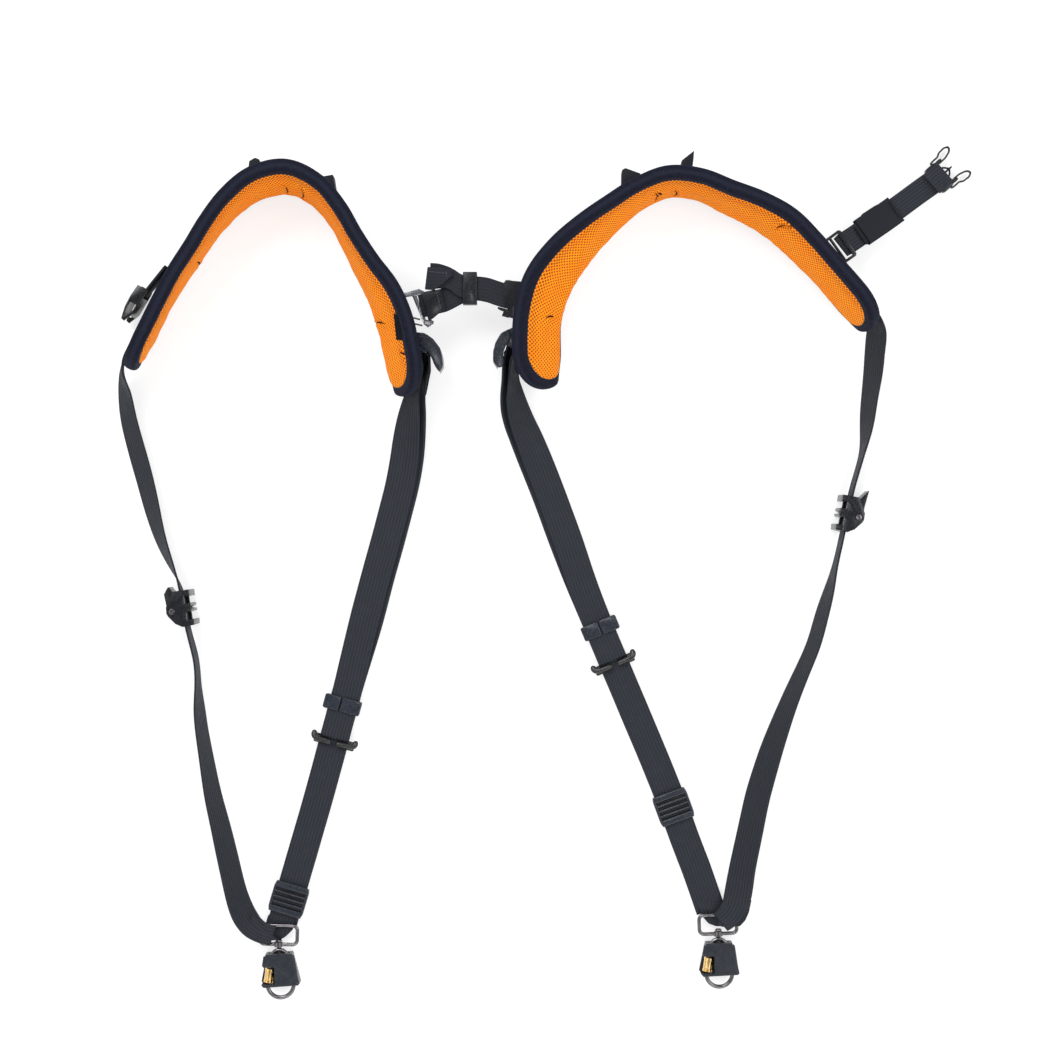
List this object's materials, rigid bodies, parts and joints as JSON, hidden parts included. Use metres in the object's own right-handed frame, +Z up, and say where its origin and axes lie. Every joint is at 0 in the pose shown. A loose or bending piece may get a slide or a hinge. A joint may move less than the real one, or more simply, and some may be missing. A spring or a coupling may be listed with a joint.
{
  "type": "double shoulder carrying harness",
  "caption": "Double shoulder carrying harness: two padded loops joined by a coupler strap, with webbing adjusters, rings and swivel carabiners under hinged covers.",
  "frame": {"origin": "middle of the base of the whole harness as it lies on a table, on the surface it rests on", "axes": "+Z up from the table; +Y from the hooks towards the shoulder pads; +X towards the loop that ends in the side strap"},
  "size_m": [0.7366, 0.7352, 0.076],
  "materials": {
    "binding": "matte knitted edge binding, black navy",
    "mesh": "orange spacer mesh, matte",
    "foam": "dark closed cell foam",
    "shell": "dark woven nylon",
    "webbing": "ribbed dark blue grey webbing",
    "plastic": "black moulded nylon, satin",
    "cover": "dark grey moulded cover, fine texture",
    "steel": "dark bright plated steel",
    "brass": "polished brass"
  },
  "bodies": {
    "left_harness": {"left_pad_edge_binding": "binding", "left_pad_mesh_lining": "mesh", "left_pad_foam_core": "foam", "left_pad_outer_shell": "shell", "left_rear_webbing": "webbing", "left_front_webbing": "webbing", "left_ring": "steel", "left_lock_anchor_loop": "webbing", "left_coupler_bridge": "webbing", "left_buckle_loop": "webbing", "left_top_tab": "webbing", "left_rear_tab": "webbing"},
    "right_harness": {"right_pad_edge_binding": "binding", "right_pad_mesh_lining": "mesh", "right_pad_foam_core": "foam", "right_pad_outer_shell": "shell", "right_rear_webbing": "webbing", "right_front_webbing": "webbing", "right_ring": "steel", "right_lock_anchor_loop": "webbing", "right_coupler_anchor_loop": "webbing", "right_top_loop_tab": "webbing", "right_pointed_tab": "webbing", "coupler_webbing": "webbing", "coupler_hook": "steel", "coupler_ladder_lock": "plastic", "side_anchor_loop": "webbing"},
    "left_cam_lock": {"left_cam_lock_body": "plastic", "left_cam_pin": "steel"},
    "left_cam_lever": {"left_cam_lever": "plastic"},
    "left_slider": {"left_slider": "plastic"},
    "left_strap_keeper": {"left_strap_keeper": "plastic"},
    "left_ladder_adjuster": {"left_ladder_adjuster": "plastic"},
    "left_lever_lock": {"left_lever_lock": "plastic"},
    "left_carabiner": {"left_carabiner_hook": "steel", "left_cover_back": "cover"},
    "left_carabiner_gate": {"left_carabiner_gate": "steel"},
    "left_screw_sleeve": {"left_screw_sleeve": "brass"},
    "left_cover_lid": {"left_cover_front": "cover"},
    "right_cam_lock": {"right_cam_lock_body": "plastic", "right_cam_pin": "steel"},
    "right_cam_lever": {"right_cam_lever": "plastic"},
    "right_slider": {"right_slider": "plastic"},
    "right_strap_keeper": {"right_strap_keeper": "plastic"},
    "right_ladder_adjuster": {"right_ladder_adjuster": "plastic"},
    "right_lever_lock": {"right_lever_lock": "plastic"},
    "right_carabiner": {"right_carabiner_hook": "steel", "right_cover_back": "cover"},
    "right_carabiner_gate": {"right_carabiner_gate": "steel"},
    "right_screw_sleeve": {"right_screw_sleeve": "brass"},
    "right_cover_lid": {"right_cover_front": "cover"},
    "female_buckle": {"female_buckle": "plastic"},
    "coupler_gate": {"coupler_wire_gate": "steel"},
    "coupler_keeper": {"coupler_keeper": "plastic"},
    "side_strap": {"side_strap_webbing": "webbing", "side_ladder_lock": "plastic", "male_buckle_body": "plastic"},
    "side_strap_sleeve": {"side_strap_sleeve": "webbing"},
    "male_buckle_prong_a": {"male_buckle_prong_a": "plastic"},
    "male_buckle_prong_b": {"male_buckle_prong_b": "plastic"}
  },
  "joints": [
    {"name": "coupler_swing", "type": "hinge", "parent": "left_harness", "child": "right_harness", "pos_m": [-0.1218, 0.23042, 0.0343], "axis": [0, 0, 1], "range_deg": [-5, 10]},
    {"name": "left_cam_lock_slide", "type": "slide", "parent": "left_harness", "child": "left_cam_lock", "axis": [-0.1564, 0.9877, 0], "range_m": [-0.003, 0.005]},
    {"name": "left_cam_lever_hinge", "type": "hinge", "parent": "left_cam_lock", "child": "left_cam_lever", "pos_m": [-0.31705, -0.03259, 0.0156], "axis": [0, 0, 1], "range_deg": [0, 60]},
    {"name": "left_strap_keeper_slide", "type": "slide", "parent": "left_harness", "child": "left_strap_keeper", "axis": [0.2656, 0.9641, 0], "range_m": [-0.006, 0.008]},
    {"name": "left_slider_slide", "type": "slide", "parent": "left_harness", "child": "left_slider", "axis": [0.2656, 0.9641, 0], "range_m": [-0.01, 0]},
    {"name": "left_ladder_adjuster_slide", "type": "slide", "parent": "left_harness", "child": "left_ladder_adjuster", "axis": [0.2857, 0.9583, 0], "range_m": [-0.004, 0.01]},
    {"name": "left_lever_lock_tilt", "type": "hinge", "parent": "left_harness", "child": "left_lever_lock", "pos_m": [-0.10203, 0.18948, 0.0318], "axis": [0, 0, 1], "range_deg": [-3, 8]},
    {"name": "left_carabiner_swivel", "type": "hinge", "parent": "left_harness", "child": "left_carabiner", "pos_m": [-0.22897, -0.32031, 0.0065], "axis": [-0.0419, 0.9991, 0], "continuous": true},
    {"name": "left_gate_hinge", "type": "hinge", "parent": "left_carabiner", "child": "left_carabiner_gate", "pos_m": [-0.2356, -0.334, 0.0065], "axis": [0, 0, 1], "range_deg": [0, 18], "stiffness_Nm_per_rad": 0.02},
    {"name": "left_screw_sleeve_travel", "type": "slide", "parent": "left_carabiner_gate", "child": "left_screw_sleeve", "axis": [0.127, 0.9919, 0], "range_m": [0, 0.003]},
    {"name": "left_cover_hinge", "type": "hinge", "parent": "left_carabiner", "child": "left_cover_lid", "pos_m": [-0.21729, -0.32682, 0.0065], "axis": [-0.2431, 0.97, 0], "range_deg": [0, 90]},
    {"name": "right_cam_lock_slide", "type": "slide", "parent": "right_harness", "child": "right_cam_lock", "axis": [0.2079, 0.9781, 0], "range_m": [-0.003, 0.005]},
    {"name": "right_cam_lever_hinge", "type": "hinge", "parent": "right_cam_lock", "child": "right_cam_lever", "pos_m": [0.26672, 0.04759, 0.0156], "axis": [0, 0, 1], "range_deg": [-60, 0]},
    {"name": "right_strap_keeper_slide", "type": "slide", "parent": "right_harness", "child": "right_strap_keeper", "axis": [-0.3843, 0.9232, 0], "range_m": [-0.006, 0.008]},
    {"name": "right_slider_slide", "type": "slide", "parent": "right_harness", "child": "right_slider", "axis": [-0.3875, 0.9219, 0], "range_m": [-0.01, 0]},
    {"name": "right_ladder_adjuster_slide", "type": "slide", "parent": "right_harness", "child": "right_ladder_adjuster", "axis": [-0.3453, 0.9385, 0], "range_m": [-0.004, 0.01]},
    {"name": "right_lever_lock_tilt", "type": "hinge", "parent": "right_harness", "child": "right_lever_lock", "pos_m": [-0.0282, 0.19373, 0.0318], "axis": [0, 0, 1], "range_deg": [-3, 8]},
    {"name": "right_carabiner_swivel", "type": "hinge", "parent": "right_harness", "child": "right_carabiner", "pos_m": [0.1497, -0.311, 0.0065], "axis": [-0.0209, 0.9998, 0], "continuous": true},
    {"name": "right_gate_hinge", "type": "hinge", "parent": "right_carabiner", "child": "right_carabiner_gate", "pos_m": [0.14278, -0.32455, 0.0065], "axis": [0, 0, 1], "range_deg": [0, 18], "stiffness_Nm_per_rad": 0.02},
    {"name": "right_screw_sleeve_travel", "type": "slide", "parent": "right_carabiner_gate", "child": "right_screw_sleeve", "axis": [0.1477, 0.989, 0], "range_m": [0, 0.003]},
    {"name": "right_cover_hinge", "type": "hinge", "parent": "right_carabiner", "child": "right_cover_lid", "pos_m": [0.16124, -0.31776, 0.0065], "axis": [-0.2228, 0.9749, 0], "range_deg": [0, 90]},
    {"name": "female_buckle_swing", "type": "hinge", "parent": "left_harness", "child": "female_buckle", "pos_m": [-0.3437, 0.2402, 0.0188], "axis": [0, 0, 1], "range_deg": [-25, 0]},
    {"name": "coupler_gate_hinge", "type": "hinge", "parent": "right_harness", "child": "coupler_gate", "pos_m": [-0.1048, 0.21302, 0.0343], "axis": [0, 0, 1], "range_deg": [0, 6], "stiffness_Nm_per_rad": 0.02},
    {"name": "coupler_keeper_slide", "type": "slide", "parent": "right_harness", "child": "coupler_keeper", "axis": [1, 0, 0], "range_m": [0, 0.003]},
    {"name": "side_strap_hinge", "type": "hinge", "parent": "right_harness", "child": "side_strap", "pos_m": [0.24505, 0.27287, 0.0203], "axis": [-0.5793, 0.8151, 0], "range_deg": [-20, 3]},
    {"name": "side_strap_sleeve_slide", "type": "slide", "parent": "side_strap", "child": "side_strap_sleeve", "axis": [0.7956, 0.5538, -0.2457], "range_m": [-0.003, 0.003]},
    {"name": "male_buckle_prong_a_flex", "type": "hinge", "parent": "side_strap", "child": "male_buckle_prong_a", "pos_m": [0.33566, 0.35102, 0.0049], "axis": [0, 0, 1], "range_deg": [-7, 0], "stiffness_Nm_per_rad": 0.05},
    {"name": "male_buckle_prong_b_flex", "type": "hinge", "parent": "side_strap", "child": "male_buckle_prong_b", "pos_m": [0.34971, 0.33514, 0.0049], "axis": [0, 0, 1], "range_deg": [0, 7], "stiffness_Nm_per_rad": 0.05}
  ]
}
